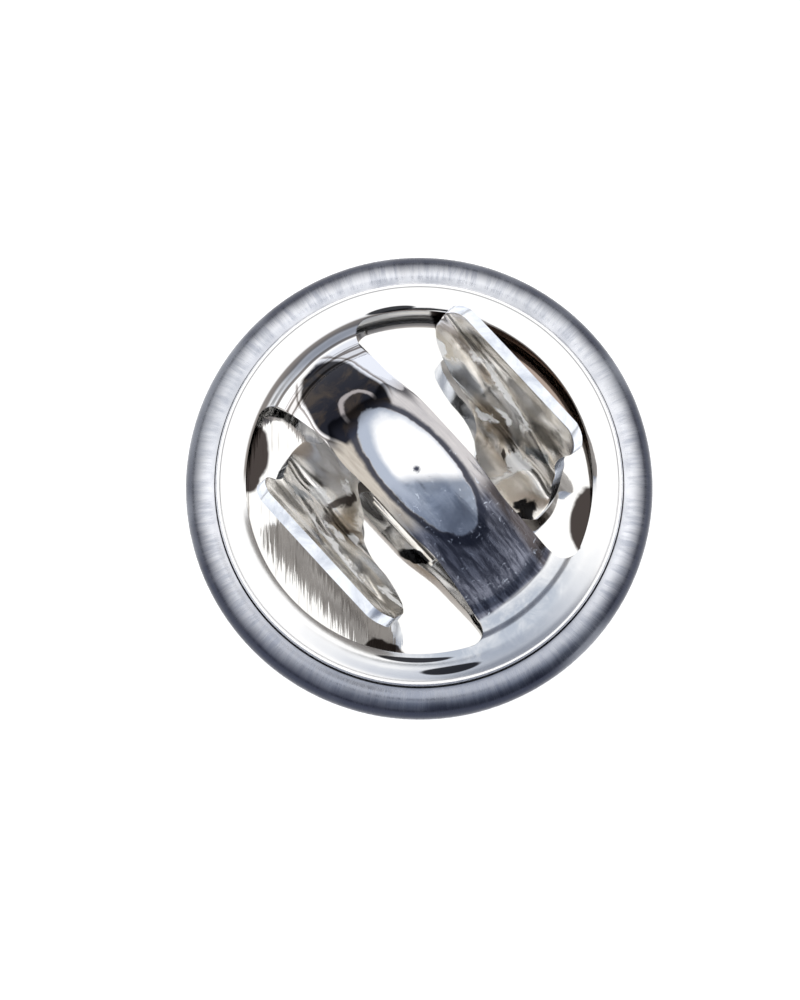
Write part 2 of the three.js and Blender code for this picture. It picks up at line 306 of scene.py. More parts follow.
def bridge_side(steps):
    """One long side of the bridge from window corner to window corner, for y > 0."""
    corner = (
        (WINDOW_RADIUS - WINDOW_CORNER) * math.cos(BRIDGE_ANGLE),
        (WINDOW_RADIUS - WINDOW_CORNER) * math.sin(BRIDGE_ANGLE),
    )
    half = arc(corner, WINDOW_CORNER, math.degrees(BRIDGE_ANGLE), -90, steps // 8)
    end_y = corner[1] - WINDOW_CORNER
    n = steps - 2 * (steps // 8)
    middle = []
    for i in range(1, n):
        x = corner[0] * (1 - 2 * i / n)
        y = BRIDGE_WAIST / 2 + (end_y - BRIDGE_WAIST / 2) * (x / corner[0]) ** 2
        middle.append((x, y))
    other = [(-x, y) for x, y in half[::-1]]
    return half + middle + other


CAP_TURNS = 432
BRIDGE_STEPS = 208
FLANGE_LEVEL = 0.65
FLANGE_BEND = 0.05
WALL_FOOT = 0.70
WALL_TOP = 1.12
SHOULDER = (4.72, 1.445)  # where the wall's rounding goes over into the ring, as (radius, height)
CREST = (4.45, RING_TOP)
ROW_BOW = 0.12  # how far the bridge's rows of points bow outward in its middle
WIDE_MIDDLE = -0.3  # where along X the bridge is widened most
WIDE_REACH = 2.3  # how far from there the widening goes
WIDE_RUN = 1.5  # length over which it fades
WIDER_PLUS_Y = 0.13  # share of its width that is added on each side
WIDER_MINUS_Y = 0.17


def ring_section():
    """Section of the ring as (radius, height), from the flange under the rim to the windows' edge."""
    outside = LIP_RADIUS - FLANGE_GAP
    section = spread([(ROLL_CENTRE + 0.1, FLANGE_LEVEL), (outside + FLANGE_BEND, FLANGE_LEVEL)], step=0.1)
    section += arc((outside + FLANGE_BEND, WALL_FOOT), FLANGE_BEND, -90, -180, steps=4)[1:]
    section += spread([section[-1], (outside, WALL_TOP)], step=0.08)[1:]
    section += bezier((outside, WALL_TOP), (outside, 1.32), (4.86, 1.40), SHOULDER, steps=14)
    section += bezier(SHOULDER, (4.62, 1.48), (4.52, RING_TOP), CREST, steps=10)
    section += bezier(CREST, (4.38, RING_TOP), (4.32, 1.492), (WINDOW_RADIUS, RING_EDGE), steps=6)
    return section


def bridge_points(across):
    """Points of the bridge in rows across it, from the ring's +X side to its -X side."""
    side = bridge_side(BRIDGE_STEPS)
    corner_rows = BRIDGE_STEPS // 8
    corner_x = side[corner_rows][0]
    edge_bow = math.cos(BRIDGE_ANGLE)
    rows = []
    for k, (x_side, y_side) in enumerate(side[1:-1], 1):
        from_end = min(k, len(side) - 1 - k)
        if from_end < corner_rows:
            reach = mix(WINDOW_RADIUS, corner_x + ROW_BOW, from_end / corner_rows)
            x_middle = math.copysign(reach, x_side)
        else:
            x_middle = x_side * (1 + ROW_BOW / corner_x)
        row = []
        for i in range(-across, across + 1):
            a = BRIDGE_ANGLE * i / across
            bow = (math.cos(a) - edge_bow) / (1 - edge_bow)
            x = x_side + (x_middle - x_side) * bow
            wider = WIDER_PLUS_Y if a > 0 else WIDER_MINUS_Y
            bulge = smooth_step((WIDE_REACH - abs(x_side - WIDE_MIDDLE)) / WIDE_RUN) * wider
            y = y_side * (1 + bulge) * math.sin(a) / math.sin(BRIDGE_ANGLE)
            row.append((x, y, cap_height(x, y)))
        rows.append(row)
    return rows


def make_cap():
    """Ring and bridge in one surface: the bridge's first and last rows are points of the ring's edge."""
    section = ring_section()
    verts, faces = [], []
    for r, z in section:
        for i in range(CAP_TURNS):
            a = 2 * math.pi * i / CAP_TURNS
            verts.append((r * math.cos(a), r * math.sin(a), z))
    for k in range(len(section) - 1):
        low, high = k * CAP_TURNS, (k + 1) * CAP_TURNS
        for i in range(CAP_TURNS):
            j = (i + 1) % CAP_TURNS
            faces.append((low + i, low + j, high + j, high + i))
    inner = (len(section) - 1) * CAP_TURNS
    across = round(BRIDGE_ANGLE / (2 * math.pi) * CAP_TURNS)
    span = range(-across, across + 1)
    rows = [[inner + i % CAP_TURNS for i in span]]
    for points in bridge_points(across):
        rows.append(list(range(len(verts), len(verts) + len(points))))
        verts += points
    rows.append([inner + (CAP_TURNS // 2 - i) % CAP_TURNS for i in span])
    for a, b in zip(rows, rows[1:]):
        for i in range(len(a) - 1):
            faces.append((a[i], a[i + 1], b[i + 1], b[i]))
    obj = make_object("clutch_cap_fine", verts, faces, CLUTCH_Z)
    face_out(obj)
    return obj


# Spring, mm: y runs from the post out to the wing, heights from the clutch's underside
PLATE_LEVEL = BASE_SHEET + PLATE_GAP + SPRING_SHEET / 2
PLATE_REACH = 1.6
FOLD_BEND = 0.22
FOLD_OFFSET = 0.70
FOLD_LEVEL = PLATE_LEVEL + FOLD_BEND
ARM_LEVEL = FOLD_LEVEL + FOLD_BEND
ARM_SLOPE = math.radians(15)
JAW_RADIUS = 0.55
JAW_END = -0.2
NECK_START = 1.35
NECK_LEVEL = ARM_LEVEL + (NECK_START + FOLD_OFFSET) * math.tan(ARM_SLOPE)
NECK_BEND = (NECK_START + 0.95, NECK_LEVEL + 0.85)  # end of the turn-up, as (y, z)
WING_OUT = 3.3  # y of the wing's top edge
WING_TOP = top("wing_arm_plus_y") - CLUTCH_Z
WING_EDGE = WING_TOP - 0.08  # centreline of the top edge
WING_KNEE = (WING_OUT - 0.42, WING_TOP - 1.05)  # where the wing flares, as (y, z)
WING_TIP = -2.35
LEAF_START = 0.12  # above the neck
LEAF_RISE = 1.45
WING_CORNER = 0.75
CORNER_TURN = 0.94  # share of the corner's circle that is used
CORNER_CUT = 0.95  # how much of it is cut off the edge

# Edges of the arm along x: the new x, where the change to it starts, and how long it takes
RIGHT_BY_Y = ((2.30, 0.1, 0.8), (2.62, 1.15, 0.35))
RIGHT_BY_Z = ((2.42, NECK_LEVEL + 0.05, 0.7), (2.10, 2.0, 1.3), (2.30, 3.3, 0.8))
LEFT_BY_Y = ((1.0, 0.55, 0.5), (0.15, 1.1, 0.7))
POST_SIDE = (0.52, 0.66)  # left edge beside the post, and just past it
POST_SIDE_RUN = 0.3

# Shape of the wing's sheet
DISH_DEPTH = 0.12
DISH_HALF = 2.4
CREASE_DEPTH = 0.06
CREASE_LEVEL = 3.33
CREASE_LEAN = 0.26
CREASE_WIDTH = 0.22
# Dents of the wing: place along X, height, size and depth
WING_DENTS = (
    (1.9, 2.4, 0.45, 0.05), (1.3, 2.1, 0.35, -0.03), (0.4, 2.6, 0.6, 0.035), (-0.8, 2.8, 0.6, -0.03),
    (2.1, 3.2, 0.4, -0.04), (-1.8, 3.4, 0.5, 0.03),
)


def arm_line():
    """The arm's centreline in (y, z), finely spread: fold, slope, turn-up, wing, flared top edge."""
    line = arc((-FOLD_OFFSET, FOLD_LEVEL), FOLD_BEND, 160, 90, steps=8)
    line += spread([line[-1], (NECK_START, NECK_LEVEL)], step=0.06)[1:]
    leave = (NECK_START + 0.5, NECK_LEVEL + 0.10)
    arrive = (NECK_BEND[0] - 0.06, NECK_BEND[1] - 0.50)
    line += bezier(line[-1], leave, arrive, NECK_BEND, steps=22)
    line += spread([NECK_BEND, WING_KNEE], step=0.06)[1:]
    leave = (WING_KNEE[0] + 0.10, WING_KNEE[1] + 0.33)
    arrive = (WING_OUT - 0.14, WING_TOP - 0.40)
    line += bezier(WING_KNEE, leave, arrive, (WING_OUT, WING_EDGE), steps=18)
    return line


def follow(x, place, changes):
    """An edge's x after a row of smooth changes along y or z."""
    for new_x, start, run in changes:
        x = mix(x, new_x, smooth_step((place - start) / run))
    return x


def arm_span(y, z):
    """Left and right end of the arm's row at a point of its centreline."""
    # Right side: strip, neck, heel of the wing.
    right = follow(follow(PLATE_REACH, y, RIGHT_BY_Y), z, RIGHT_BY_Z)
    # Left side: jaw, strip beside the post, then the leaf that runs out to the wing's tip.
    if y < -JAW_RADIUS:
        left = -JAW_RADIUS
    elif y < JAW_END:
        left = math.sqrt(JAW_RADIUS ** 2 - y * y)
    else:
        left = mix(*POST_SIDE, smooth_step((y - JAW_END) / POST_SIDE_RUN))
    left = follow(left, y, LEFT_BY_Y)
    above_neck = z - NECK_LEVEL
    if above_neck > LEAF_START:
        t = min((above_neck - LEAF_START) / LEAF_RISE, 1)
        left = mix(left, WING_TIP + 0.3, math.sin(t * math.pi / 2) ** 1.3)
        left = mix(left, WING_TIP, smooth_step((above_neck - 1.2) / 0.8))
    # Rounded top corners.
    down = WING_EDGE - z
    if down < WING_CORNER:
        part = min((WING_CORNER - down) / WING_CORNER, 1.0) * CORNER_TURN
        inset = WING_CORNER * (1 - math.sqrt(1 - part ** 2)) * CORNER_CUT
        left += inset
        right -= inset
    return left, right


def make_arm(name, turned):
    """One arm with its wing. The other arm is the same piece turned half round the post."""
    line = arm_line()
    columns = 72
    verts, faces = [], []
    for k, (y, z) in enumerate(line):
        left, right = arm_span(y, z)
        a = line[max(k - 1, 0)]
        b = line[min(k + 1, len(line) - 1)]
        d = math.dist(a, b)
        ny, nz = -(b[1] - a[1]) / d, (b[0] - a[0]) / d
        for i in range(columns + 1):
            x = mix(left, right, i / columns)
            out = wing_form(x, z)
            px, py, pz = x, y - ny * out, z - nz * out
            verts.append((-px, -py, pz) if turned else (px, py, pz))
    for k in range(len(line) - 1):
        for i in range(columns):
            a = k * (columns + 1) + i
            faces.append((a, a + 1, a + columns + 2, a + columns + 1))
    obj = make_object(name, verts, faces, CLUTCH_Z)
    thicken(obj, SPRING_SHEET, side=0, edge=0.06, own_back=True)
    return obj


def wing_form(x, z):
    """How far the wing's sheet is pressed outward: a shallow dish, a crease below the flared top, dents."""
    if z < NECK_LEVEL:
        return 0.0
    rise = smooth_step((z - NECK_LEVEL) / 0.8) * smooth_step((WING_TOP - z) / 0.6)
    form = DISH_DEPTH * (1 - min((x / DISH_HALF) ** 2, 1.0))
    form += CREASE_DEPTH * math.exp(-(((z - CREASE_LEVEL + CREASE_LEAN * x) / CREASE_WIDTH) ** 2))
    for x0, z0, size, depth in WING_DENTS:
        form += depth * math.exp(-((x - x0) ** 2 + (z - z0) ** 2) / size ** 2)
    return rise * form


def make_plate():
    """Floor plate of the spring with the lower halves of its two folds."""
    line = arc((-FOLD_OFFSET, FOLD_LEVEL), FOLD_BEND, 187, 270, steps=10)
    line += spread([line[-1], (FOLD_OFFSET, PLATE_LEVEL)], step=0.05)[1:]
    line += arc((FOLD_OFFSET, FOLD_LEVEL), FOLD_BEND, -90, -7, steps=10)[1:]
    columns = 48
    verts, faces = [], []
    for y, z in line:
        left = -PLATE_REACH if y > -FOLD_OFFSET - 1e-6 else -JAW_RADIUS
        right = PLATE_REACH if y < FOLD_OFFSET + 1e-6 else JAW_RADIUS
        for i in range(columns + 1):
            verts.append((mix(left, right, i / columns), y, z))
    for k in range(len(line) - 1):
        for i in range(columns):
            a = k * (columns + 1) + i
            corners = (a, a + 1, a + columns + 2, a + columns + 1)
            middle = [sum(verts[v][n] for v in corners) / 4 for n in (0, 1)]
            if math.hypot(*middle) > HOLE_RADIUS - 0.1:
                faces.append(corners)
    obj = make_object("spring_plate_fine", verts, faces, CLUTCH_Z)
    thicken(obj, SPRING_SHEET, side=0, edge=CUT_EDGE)
    return obj


# ---- pieces of the tack

HEAD_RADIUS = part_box("tack_head")[1].x / MM
HEAD_TOP = top("tack_head")
PAD_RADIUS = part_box("post_pad")[1].x / MM
PAD_BOTTOM = bottom("post_pad")
PAD_TOP = top("post_pad")
POST_RADIUS = 0.52
POST_TIP = top("tack_post")
POINT_LENGTH = 1.1
GROOVE_HALF = 0.3
GROOVE_DEPTH = 0.05
RIVET_RADIUS = 0.95
RIVET_HEIGHT = 0.2
FACE_EDGE = 0.4  # rounding of the head's front edge
BACK_EDGE = 0.2  # and of its back edge


def make_head():
    """Plain round disc, its face down."""
    lower = arc((HEAD_RADIUS - FACE_EDGE, FACE_EDGE), FACE_EDGE, -90, 0, steps=12)
    upper = arc((HEAD_RADIUS - BACK_EDGE, HEAD_TOP - BACK_EDGE), BACK_EDGE, 0, 90, steps=8)
    outline = spread([(0, 0), lower[0]], step=0.3) + lower[1:] + upper
    outline += spread([upper[-1], (0, HEAD_TOP)], step=0.3)[1:]
    return lathe("tack_head_fine", outline, 0, segments=256)


def make_pad():
    """Stamped pad with a hollow below for the pin's rivet head."""
    inner = RIVET_RADIUS + PLATE_GAP
    hole = POST_RADIUS + PLATE_GAP
    hollow = PAD_BOTTOM + RIVET_HEIGHT + PLATE_GAP
    outline = [
        (inner, PAD_BOTTOM), (PAD_RADIUS, PAD_BOTTOM), (PAD_RADIUS, PAD_TOP),
        (hole, PAD_TOP), (hole, hollow), (inner, hollow),
    ]
    return lathe("post_pad_fine", round_corners(outline, 0.12), 0, segments=160)


def make_post():
    """Pin with its rivet head, the groove that the spring grips, and its point."""
    groove = CLUTCH_Z + ARM_LEVEL
    slope = GROOVE_HALF - GROOVE_DEPTH
    shaft = [
        (RIVET_RADIUS, PAD_BOTTOM), (RIVET_RADIUS, PAD_BOTTOM + RIVET_HEIGHT),
        (POST_RADIUS, PAD_BOTTOM + RIVET_HEIGHT), (POST_RADIUS, groove - GROOVE_HALF),
        (POST_RADIUS - GROOVE_DEPTH, groove - slope), (POST_RADIUS - GROOVE_DEPTH, groove + slope),
        (POST_RADIUS, groove + GROOVE_HALF), (POST_RADIUS, POST_TIP - POINT_LENGTH),
        (0.10, POST_TIP - 0.06), (0.0, POST_TIP),
    ]
    outline = round_corners([(0, PAD_BOTTOM)] + shaft, 0.03, steps=3)
    outline = [(0, PAD_BOTTOM)] + [p for p in outline if p[0] > 1e-3] + [(0, POST_TIP)]
    return lathe("tack_post_fine", outline, 0, segments=96)


# ---- materials

class Graph:
    """Short names for building a node tree; plain numbers and sockets both serve as inputs."""

    def __init__(self, tree):
        self.nodes = tree.nodes
        self.links = tree.links

    def feed(self, socket, value):
        if isinstance(value, bpy.types.NodeSocket):
            self.links.new(value, socket)
        else:
            socket.default_value = value

    def math(self, operation, *values):
        node = self.nodes.new("ShaderNodeMath")
        node.operation = operation
        for socket, value in zip(node.inputs, values):
            self.feed(socket, value)
        return node.outputs[0]

    def plus(self, a, b):
        return self.math("ADD", a, b)

    def minus(self, a, b):
        return self.math("SUBTRACT", a, b)

    def times(self, a, b):
        return self.math("MULTIPLY", a, b)

    def over(self, a, b):
        return self.math("DIVIDE", a, b)

    def rest(self, share):
        """What is left of 1."""
        return self.math("SUBTRACT", 1, share)

    def vector(self, operation, *values, out="Vector"):
        node = self.nodes.new("ShaderNodeVectorMath")
        node.operation = operation
        for socket, value in zip(node.inputs, values):
            self.feed(socket, value)
        return node.outputs[out]

    def length(self, x, y):
        """Distance of (x, y) from the middle."""
        return self.vector("LENGTH", self.join(x, y, 0), out="Value")

    def dot(self, a, b):
        return self.vector("DOT_PRODUCT", a, b, out="Value")

    def join(self, x, y, z):
        node = self.nodes.new("ShaderNodeCombineXYZ")
        for socket, value in zip(node.inputs, (x, y, z)):
            self.feed(socket, value)
        return node.outputs[0]

    def split(self, vector):
        node = self.nodes.new("ShaderNodeSeparateXYZ")
        self.feed(node.inputs[0], vector)
        return node.outputs

    def step(self, value, low, high, start=0.0, end=1.0):
        """A smooth change from start to end as the value goes from low to high."""
        node = self.nodes.new("ShaderNodeMapRange")
        node.interpolation_type = "SMOOTHSTEP"
        for name, v in (
            ("Value", value), ("From Min", low), ("From Max", high), ("To Min", start), ("To Max", end),
        ):
            self.feed(node.inputs[name], v)
        return node.outputs["Result"]

    def noise(self, where, scale, detail=3.0, rough=0.5, warp=0.0):
        node = self.nodes.new("ShaderNodeTexNoise")
        for name, v in (
            ("Vector", where), ("Scale", scale), ("Detail", detail), ("Roughness", rough),
            ("Distortion", warp),
        ):
            self.feed(node.inputs[name], v)
        return node.outputs["Fac"]

    def blend(self, share, a, b):
        """From colour a to colour b."""
        node = self.nodes.new("ShaderNodeMix")
        node.data_type = "RGBA"
        self.feed(node.inputs["Factor"], share)
        for name, value in (("A", a), ("B", b)):
            socket = [s for s in node.inputs if s.name == name and s.type == "RGBA"][0]
            self.feed(socket, (*value, 1) if isinstance(value, tuple) else value)
        return [s for s in node.outputs if s.type == "RGBA"][0]

    def bump(self, height, depth, normal=None):
        """Relief of so many mm."""
        node = self.nodes.new("ShaderNodeBump")
        node.inputs["Strength"].default_value = 1
        node.inputs["Distance"].default_value = depth * MM
        self.feed(node.inputs["Height"], height)
        if normal:
            self.feed(node.inputs["Normal"], normal)
        return node.outputs[0]


def new_metal(name):
    """An empty metal, with its graph, its shader and the position in mm."""
    mat = bpy.data.materials.new(name)
    mat.use_nodes = True
    graph = Graph(mat.node_tree)
    shader = graph.nodes["Principled BSDF"]
    shader.inputs["Metallic"].default_value = 1
    coords = graph.nodes.new("ShaderNodeTexCoord")
    place = graph.vector("MULTIPLY", coords.outputs["Object"], (1 / MM, 1 / MM, 1 / MM))
    return mat, graph, shader, place


def scratches(graph, place, along, density, stretch):
    """Fine parallel lines, 0 to 1; along is the direction they run in."""
    across = (-along[1], along[0], 0)
    u = graph.dot(place, (*along, 0))
    v = graph.dot(place, across)
    where = graph.join(graph.times(u, density / stretch), graph.times(v, density), 0)
    return graph.noise(where, 1, 2, 0.6, 0.15)


# The photograph's view, and its directions in the picture
VIEW_AZIMUTH = math.radians(47.6)
VIEW_ELEVATION = math.radians(81.5)
SCREEN_RIGHT = (math.cos(VIEW_AZIMUTH), math.sin(VIEW_AZIMUTH), 0)
SCREEN_UP = (-math.sin(VIEW_AZIMUTH), math.cos(VIEW_AZIMUTH), 0)
POLISH_LINE = SCREEN_UP[:2]

# Colours of the metals, as linear red, green and blue; a pair goes from its first to its second
# black of the painted black reflections
BLACK_REFLECTION = (0.006, 0.007, 0.010)
RIM_TONES = ((0.50, 0.52, 0.58), (0.84, 0.85, 0.89))
# Rim: painted shade on its +X and -Y side, and a painted dark reflection at its outer edge
RIM_PAINTED_SHADE = (0.20, 0.225, 0.29)
RIM_EDGE_REFLECTION = (0.022, 0.026, 0.046)
RIM_SMUDGE = (0.40, 0.42, 0.46)
FLOOR_TONES = ((0.83, 0.82, 0.80), (0.42, 0.40, 0.38))
# Cup floor: painted dark and brown reflections of the ring's underside
FLOOR_DARK_REFLECTION = (0.030, 0.021, 0.018)
FLOOR_BROWN_REFLECTION = (0.34, 0.27, 0.23)
# Bridge: painted reflections on its flanges and on its +X climb
FLANGE_BEIGE_REFLECTION = ((0.30, 0.26, 0.22), (0.62, 0.58, 0.52))
FLANGE_GREY_REFLECTION = ((0.34, 0.33, 0.35), (0.66, 0.63, 0.62))
CLIMB_REFLECTION_TONES = ((0.062, 0.067, 0.092), (0.22, 0.23, 0.28))
CLIMB_BROWN_REFLECTION = (0.10, 0.08, 0.07)
# Painted black reflection of the -X climb, its contour lines and fringe; outside it bright metal and a
# painted blue-grey reflection
ZONE_REFLECTION_TONES = ((0.014, 0.015, 0.022), (0.045, 0.036, 0.031))
ZONE_REFLECTION_LINE = (0.50, 0.46, 0.46)
ZONE_OUTSIDE_REFLECTION = ((0.90, 0.88, 0.88), (0.62, 0.64, 0.70))
ZONE_FRINGE_REFLECTION = (0.10, 0.075, 0.06)
# Crown: painted highlight and painted reflections
CROWN_HIGHLIGHT = (0.86, 0.86, 0.87)
CROWN_GREY_REFLECTION = ((0.17, 0.20, 0.26), (0.31, 0.35, 0.425))
CROWN_MARGIN_REFLECTION = (0.36, 0.40, 0.48)
CROWN_FOOT_REFLECTION = (0.028, 0.032, 0.05)
CREST_DARK_REFLECTION = (0.05, 0.055, 0.08)
PAINTED_GLINT = (0.62, 0.67, 0.76)
RING_WHITE = (0.86, 0.855, 0.85)
# Ring: painted brown, grey-blue, dark and black reflections
RING_BROWN_REFLECTION = (0.11, 0.085, 0.07)
RING_GREY_REFLECTION = (0.36, 0.40, 0.47)
RING_LINE_REFLECTION = (0.05, 0.05, 0.07)
RING_BLACK_REFLECTION = (0.012, 0.013, 0.018)
# painted highlight of the wing's face
WING_HIGHLIGHT_WHITE = (0.97, 0.97, 0.96)
HEAD_TONES = ((0.84, 0.835, 0.82), (0.74, 0.735, 0.72))
PAPER_TONES = ((0.93, 0.93, 0.93), (0.97, 0.97, 0.97))


def sector(g, x, y, turn, half_turn, radius, half_radius, soft, both=False):
    """1 inside a bowed patch round a point given by its turn in degrees and its radius, 0 outside.

    With both, there is a second patch straight across the middle.
    """
    distance = g.length(x, y)
    turn = math.radians(turn)
    facing = g.plus(g.times(x, math.cos(turn)), g.times(y, math.sin(turn)))
    if both:
        facing = g.math("ABSOLUTE", facing)
    angle = g.math("ARCCOSINE", g.math("MINIMUM", g.over(facing, distance), 1))
    along = g.over(angle, math.radians(half_turn))
    across = g.over(g.minus(distance, radius), half_radius)
    return g.step(g.length(along, across), 1 + soft, 1 - soft)


def spot(g, u, v, centre_u, centre_v, half_u, half_v, soft, lean=0.0):
    """1 inside an ellipse of the plane (u, v), 0 outside; lean tilts it."""
    du = g.minus(u, centre_u)
    dv = g.minus(g.minus(v, centre_v), g.times(du, lean))
    return g.step(g.length(g.over(du, half_u), g.over(dv, half_v)), 1 + soft, 1 - soft)


def rim_color(g, place, radius, brush, broad):
    """Brushed grey, with painted shade towards +X and -Y and a painted dark reflection at the outer edge.
    """
    smudge = g.noise(place, 0.35, 2, 0.5)
    # painted shade: the +X and -Y side darker
    shaded_side = g.step(g.dot(place, (0.74, -0.67, 0)), 0.5, 5.4)
    # painted dark reflection round the outer edge
    edge = g.step(g.plus(radius, g.times(broad, 0.22)), 5.26, 5.74)
    color = g.blend(g.step(brush, 0.36, 0.60), *RIM_TONES)
    color = g.blend(g.times(shaded_side, 0.72), color, RIM_PAINTED_SHADE)
    color = g.blend(g.times(edge, 0.95), color, RIM_EDGE_REFLECTION)
    return g.blend(g.step(smudge, 0.50, 0.68, 0, 0.35), color, RIM_SMUDGE)


def cup_floor_color(g, place, x, y, lines, wear_and_highlight):
    """Bright floor, stained on its worn side, with painted dark reflections of the ring's underside, a
    painted brown one and a small painted black reflection.
    """
    stain = g.times(g.step(lines, 0.55, 0.75), g.times(wear_and_highlight, 0.6))
    color = g.blend(stain, *FLOOR_TONES)
    wander = g.times(g.minus(g.noise(place, 1.6, 3), 0.5), 0.5)
    rag_x = g.plus(x, wander)
    rag_y = g.minus(y, wander)
    # painted dark reflections of the ring's underside, in patches near its edge
    shade = g.math(
        "MAXIMUM",
        sector(g, rag_x, rag_y, 37.5, 12.5, 4.45, 0.66, 0.06, both=True),
        sector(g, rag_x, rag_y, 125.5, 8.5, 4.35, 0.5, 0.08, both=True),
    )
    color = g.blend(g.times(shade, 0.97), color, FLOOR_DARK_REFLECTION)
    # painted brown reflection of the ring's underside, in a band behind the +Y wing
    color = g.blend(sector(g, x, y, 92, 31, 4.45, 0.62, 0.10), color, FLOOR_BROWN_REFLECTION)
    # painted black reflection: a small mark on the floor beside the bridge
    return g.blend(g.times(spot(g, rag_x, rag_y, *FLOOR_BLACK_REFLECTION), 0.98), color, BLACK_REFLECTION)


def base_metal():
    """Rolled rim brushed outwards from the middle; polished floor with fine straight scratches."""
    mat, g, shader, place = new_metal("brushed_rim_nickel")
    x, y = g.split(place)[:2]
    radius = g.length(x, y)
    unit_x = g.over(x, radius)
    unit_y = g.over(y, radius)
    on_rim = g.step(radius, 4.7, 4.9)
    off_rim = g.rest(on_rim)
    brushed = g.step(radius, 5.06, 5.2)

    fine = g.noise(g.join(g.times(unit_x, 42), g.times(unit_y, 42), radius), 1, 4, 0.65)
    broad = g.noise(g.join(g.times(unit_x, 9), g.times(unit_y, 9), radius), 1, 2, 0.5)
    fine = g.plus(g.times(fine, brushed), g.times(g.rest(brushed), 0.52))
    brush = g.plus(g.times(fine, 0.65), g.times(broad, 0.35))
    lines = scratches(g, place, POLISH_LINE, 9, 14)
    wear_and_highlight = g.step(g.dot(place, (-0.35, -0.94, 0)), 1.6, 2.6)

    floor = cup_floor_color(g, place, x, y, lines, wear_and_highlight)
    rim = rim_color(g, place, radius, brush, broad)
    g.feed(shader.inputs["Base Color"], g.blend(on_rim, floor, rim))
    rim_rough = g.step(fine, 0.3, 0.7, 0.20, 0.34)
    floor_rough = g.plus(0.035, g.times(wear_and_highlight, 0.03))
    rough = g.plus(g.times(on_rim, rim_rough), g.times(off_rim, floor_rough))
    g.feed(shader.inputs["Roughness"], rough)
    grain = g.bump(g.times(fine, on_rim), 0.006)
    line_depth = g.times(lines, g.plus(0.03, g.times(wear_and_highlight, 0.97)))
    g.feed(shader.inputs["Normal"], g.bump(g.times(line_depth, off_rim), 0.004, grain))
    return mat


def strap_color(g, x, y, cloud, streak):
    """The bridge beside its crown, in painted reflections: beige below and grey above, dark and streaked
    down its +X end.
    """
    low_flange = g.blend(streak, *FLANGE_BEIGE_REFLECTION)
    high_flange = g.blend(streak, *FLANGE_GREY_REFLECTION)
    flange = g.blend(g.step(y, -0.1, 0.1), low_flange, high_flange)
    climb = g.blend(g.step(streak, 0.36, 0.66), *CLIMB_REFLECTION_TONES)
    brown_side = g.times(g.step(y, 0.72, 0.95), g.step(cloud, 0.3, 0.5))
    climb = g.blend(g.times(brown_side, 0.7), climb, CLIMB_BROWN_REFLECTION)
    past = g.plus(x, g.times(y, g.step(y, -0.2, -1.0, 0.2, -0.5)))
    return g.blend(g.step(past, 1.15, 1.75), flange, climb)


def black_reflection_zone(g, x, y, cloud, wander, ripple, strap):
    """Painted black reflection on the -X climb with a painted pale contour line in it and a painted brown
    one round it; outside it bright metal below and a painted blue-grey reflection above.
    """
    rag_x = g.plus(x, g.times(ripple, 0.22))
    rag_y = g.plus(y, g.times(wander, 0.35))
    black = g.times(spot(g, rag_x, rag_y, *ZONE_MIDDLE, 1.46, 0.92, 0.05), g.step(x, -1.55, -1.75))
    level = spot(g, rag_x, rag_y, -2.08, 0.0, 0.50, 0.40, 0.9)
    line = g.times(g.step(level, 0.28, 0.38), g.step(level, 0.58, 0.46))
    line = g.times(g.times(line, 0.7), g.step(rag_x, -2.0, -2.25))
    dark = g.blend(g.step(cloud, 0.42, 0.66), *ZONE_REFLECTION_TONES)
    dark = g.blend(line, dark, ZONE_REFLECTION_LINE)
    outer = g.blend(g.step(y, -0.2, 0.2), *ZONE_OUTSIDE_REFLECTION)
    fringe_out = spot(g, rag_x, rag_y, *ZONE_MIDDLE, 1.60, 1.03, 0.03)
    fringe_in = spot(g, rag_x, rag_y, *ZONE_MIDDLE, 1.54, 0.98, 0.02)
    outer = g.blend(g.times(g.minus(fringe_out, fringe_in), 0.8), outer, ZONE_FRINGE_REFLECTION)
    return g.blend(black, g.blend(g.step(x, -1.7, -2.3), strap, outer), dark)


def crown_color(g, x, y, cloud, ripple, tarnish_and_reflection, strap):
    """The crown: a painted white highlight, a painted blue-grey reflection from its middle on, and a
    painted dark reflection line round its foot.
    """
    crown = g.length(g.over(g.plus(x, 0.02), 1.98), g.over(g.plus(y, 0.05), 0.82))
    crown = g.plus(crown, g.times(ripple, 0.14))
    crown_reflection = g.blend(g.step(cloud, 0.35, 0.65), *CROWN_GREY_REFLECTION)
    shell = g.blend(tarnish_and_reflection, CROWN_HIGHLIGHT, crown_reflection)
    from_low_side = g.minus(crown, g.times(y, 0.24))
    margin = g.times(g.step(from_low_side, 0.66, 0.92), g.step(x, 1.0, 0.2, 0.4, 1.0))
    shell = g.blend(margin, shell, CROWN_MARGIN_REFLECTION)
    rim_line = g.times(g.step(crown, 0.965, 1.03), g.step(crown, 1.22, 1.10))
    rim_line = g.times(rim_line, g.step(x, -2.1, -1.7))
    strap = g.blend(g.times(rim_line, 0.93), strap, CROWN_FOOT_REFLECTION)
    return g.blend(g.step(crown, 1.015, 0.965), strap, shell)


